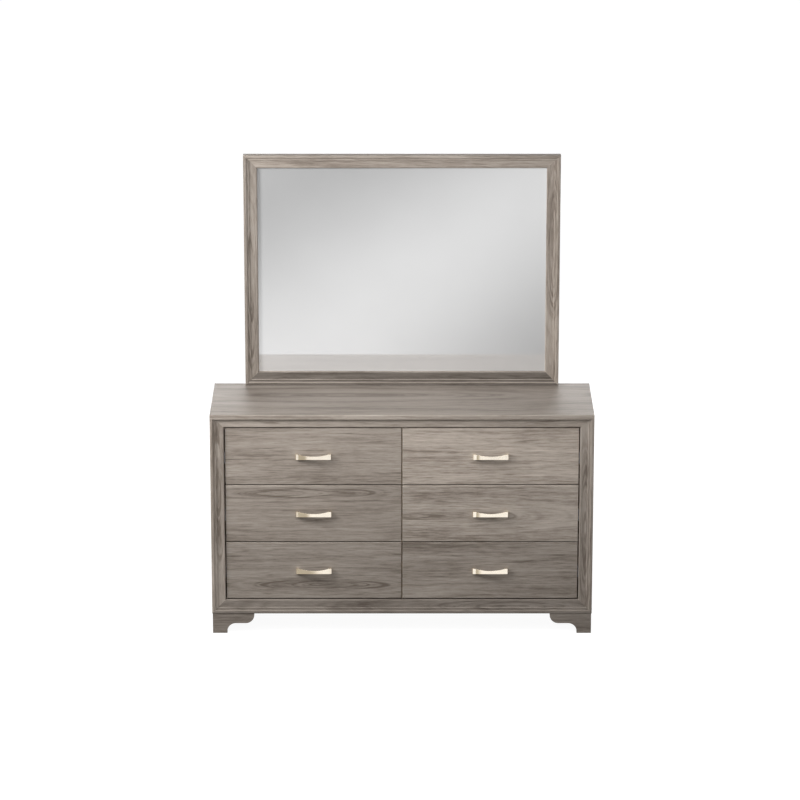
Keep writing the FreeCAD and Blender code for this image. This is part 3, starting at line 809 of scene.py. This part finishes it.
def makeFloor():
    look = floorLook
    half = look["size"] / 2
    corners = [(-half, -half, 0), (half, -half, 0), (half, half, 0), (-half, half, 0)]
    mesh = bpy.data.meshes.new("floor")
    mesh.from_pydata(corners, [], [(0, 1, 2, 3)])
    floor = bpy.data.objects.new("floor", mesh)
    scene.collection.objects.link(floor)
    finish = Finish("studioFloor")
    x, y, _ = finish.add("ShaderNodeSeparateXYZ", {0: finish.place}).outputs
    away = finish.add("ShaderNodeVectorMath", {0: finish.place}, operation="LENGTH").outputs["Value"]
    white = finish.remap(away, *look["whiteFrom"], look["white"], 1.0, smooth=True)
    sheet = finish.remap(y, *look["sheetFront"], smooth=True)
    tone = finish.add("ShaderNodeMix", {0: sheet, 2: bandTone(finish, x, y), 3: white}).outputs[0]
    slant = finish.math("MULTIPLY_ADD", y, -look["sheetSlant"], x)
    left = finish.remap(slant, *look["sheetLeft"], look["grey"], 1.0, smooth=True)
    right = finish.remap(x, *look["sheetRight"], 1.0, look["grey"], smooth=True)
    right = finish.math("MAXIMUM", right, finish.remap(y, *look["rightFrom"], 1.0, 0.0, smooth=True))
    back = finish.remap(y, *look["sheetBack"], smooth=True)
    tone = finish.math("MULTIPLY", tone, finish.math("MAXIMUM", finish.math("MULTIPLY", left, right), back))

    # the camera sees an even white glow; glossy and transmission rays see the glow painted for reflections:
    # grey and tan round the sheet and the diagonal band of light
    rays = finish.add("ShaderNodeLightPath").outputs
    inPicture = rays["Is Camera Ray"]
    seen = finish.math("MAXIMUM", rays["Is Glossy Ray"], rays["Is Transmission Ray"])
    seen = finish.math("MAXIMUM", inPicture, seen)
    tone = finish.math("MAXIMUM", tone, finish.math("MULTIPLY", white, inPicture))
    plain = finish.math("MAXIMUM", left, inPicture)
    finish.set(Base_Color=(look["albedo"],) * 3 + (1,), Roughness=look["roughness"], Specular_IOR_Level=0.0)
    finish.set(Emission_Color=finish.ramp(plain, [(look["grey"], look["tan"]), (1.0, (1, 1, 1))]))
    finish.set(Emission_Strength=finish.math("MULTIPLY", tone, seen))
    mesh.materials.append(finish.material)


makeFloor()

# Light: a soft box from the upper left, one overhead in front, and two for the far sides

lamps = {
    "keyBox": {"at": (-3.1, -1.3, 2.5), "aim": (0.0, -0.2, 0.8), "size": (0.9, 0.9), "power": 110},
    "overheadBox": {"at": (-0.3, -1.7, 2.2), "aim": (0.0, -0.5, 0.5), "size": (2.8, 2.2), "power": 51},
    "backBox": {"at": (0.0, 3.2, 1.5), "aim": (0.0, 0.2, 0.9), "size": (3.0, 1.6), "power": 90},
    "rightBox": {"at": (3.0, 0.6, 1.8), "aim": (0.7, 0.0, 0.6), "size": (1.4, 1.4), "power": 40},
}
room = {
    "light": 0.08,  # what it adds to the lamps
    # what metal and glass see: where each side starts to dim, where it is dimmest, and how dim
    "ceiling": (0.30, 0.75, 0.12), "leftSide": (-0.30, -0.65, 0.25),
}


def makeLamp(name, at, aim, size, power):
    lamp = bpy.data.lights.new(name, "AREA")
    lamp.shape, lamp.size, lamp.size_y = "RECTANGLE", *size
    lamp.energy = power
    holder = bpy.data.objects.new(name, lamp)
    holder.location = at
    holder.rotation_euler = (Vector(aim) - Vector(at)).to_track_quat("-Z", "Y").to_euler()
    scene.collection.objects.link(holder)


def makeRoom():
    world = bpy.data.worlds.new("paleRoom")
    scene.world = world
    world.use_nodes = True
    tree = world.node_tree

    def joined(operation, first, second):
        node = tree.nodes.new("ShaderNodeMath")
        node.operation = operation
        tree.links.new(first, node.inputs[0])
        tree.links.new(second, node.inputs[1])
        return node.outputs[0]

    def ranged(value, inputs):
        node = tree.nodes.new("ShaderNodeMapRange")
        node.interpolation_type = "SMOOTHSTEP"
        tree.links.new(value, node.inputs["Value"])
        for key, number in inputs.items():
            node.inputs[key].default_value = number
        return node

    def dimmed(direction, start, end, dim):
        inputs = {"From Min": start, "From Max": end, "To Min": 1.0, "To Max": dim}
        return ranged(direction, inputs).outputs[0]

    rays = tree.nodes.new("ShaderNodeLightPath").outputs
    inPicture = rays["Is Camera Ray"]
    shown = joined("MAXIMUM", rays["Is Glossy Ray"], rays["Is Transmission Ray"])
    shown = joined("MAXIMUM", inPicture, shown)
    parts = tree.nodes.new("ShaderNodeSeparateXYZ")
    tree.links.new(tree.nodes.new("ShaderNodeTexCoord").outputs["Generated"], parts.inputs[0])
    x, _, z = parts.outputs
    sides = joined("MULTIPLY", dimmed(z, *room["ceiling"]), dimmed(x, *room["leftSide"]))
    level = ranged(shown, {"To Min": room["light"]})
    tree.links.new(joined("MAXIMUM", sides, inPicture), level.inputs["To Max"])
    tree.nodes["Background"].inputs["Color"].default_value = (1, 1, 1, 1)
    tree.links.new(level.outputs["Result"], tree.nodes["Background"].inputs["Strength"])


for name, lamp in lamps.items():
    makeLamp(name, **lamp)
makeRoom()

# Camera: a long lens from the front, a little above

view = {
    "aim": (-0.0078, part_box("top_panel")[0].y, 0.9615), "distance": 15.0, "rise": 16.313,
    "sensor": 36.0, "lens": 173.58, "clip": 200,
}


def makeCamera():
    lens = bpy.data.cameras.new("camera")
    lens.sensor_width, lens.lens, lens.clip_end = view["sensor"], view["lens"], view["clip"]
    camera = bpy.data.objects.new("camera", lens)
    rise = math.radians(view["rise"])
    camera.location = Vector(view["aim"]) + view["distance"] * Vector((0, -math.cos(rise), math.sin(rise)))
    camera.rotation_euler = Euler((math.pi / 2 - rise, 0, 0))
    scene.collection.objects.link(camera)
    scene.camera = camera


makeCamera()
print("stage, light and camera are set")
